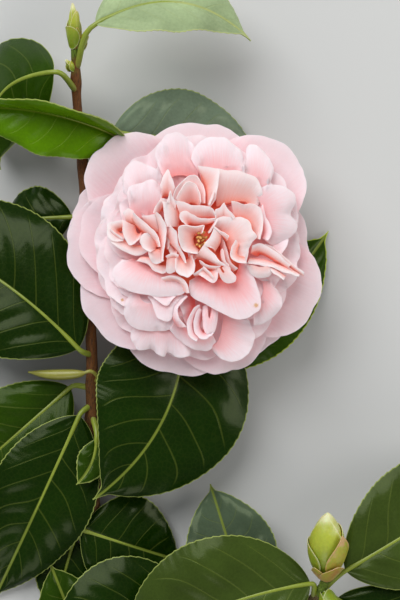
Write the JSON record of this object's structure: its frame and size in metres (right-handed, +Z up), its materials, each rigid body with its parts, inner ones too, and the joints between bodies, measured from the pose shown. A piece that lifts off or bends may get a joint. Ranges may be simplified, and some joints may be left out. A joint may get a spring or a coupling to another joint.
{
  "type": "cut camellia branch",
  "caption": "Cut branch of a camellia shrub with a large double pink bloom, flower buds and glossy oval leaves on a woody stem.",
  "frame": {"origin": "on the floor, under the middle of the branch's bounding box", "axes": "+Z up from the floor through the bloom's face, +Y along the stem from its cut end to its tip, +X to the right seen from above with the tip away"},
  "size_m": [0.2594, 0.2935, 0.0583],
  "materials": {
    "bark": "rough",
    "leaf_green": "glossy",
    "petal_pink": "satin",
    "young_green": "satin",
    "scale_green": "matte"
  },
  "bodies": {
    "root": {"stem": "bark", "bloom_shoot": "bark", "bud_shoot": "bark", "leaf_behind_left": "leaf_green", "leaf_behind_right": "leaf_green", "leaf_behind_top": "leaf_green", "leaf_broad_left": "leaf_green", "leaf_bud_left": "leaf_green", "leaf_bud_low": "leaf_green", "leaf_bud_right": "leaf_green", "leaf_crown_left": "leaf_green", "leaf_crown_right": "leaf_green", "leaf_foot": "leaf_green", "leaf_long_left": "leaf_green", "leaf_low_back": "leaf_green", "leaf_low_inner": "leaf_green", "leaf_low_left": "leaf_green", "leaf_middle_left": "leaf_green", "leaf_over_stem": "leaf_green", "leaf_pointed": "leaf_green", "leaf_tucked": "leaf_green", "leaf_under_bloom": "leaf_green", "leaf_young": "young_green", "bloom": "petal_pink", "bloom_calyx": "scale_green", "flower_bud": "young_green", "second_flower_bud": "young_green", "side_bud_high": "young_green", "side_bud_low": "young_green", "terminal_bud": "young_green"}
  },
  "joints": []
}
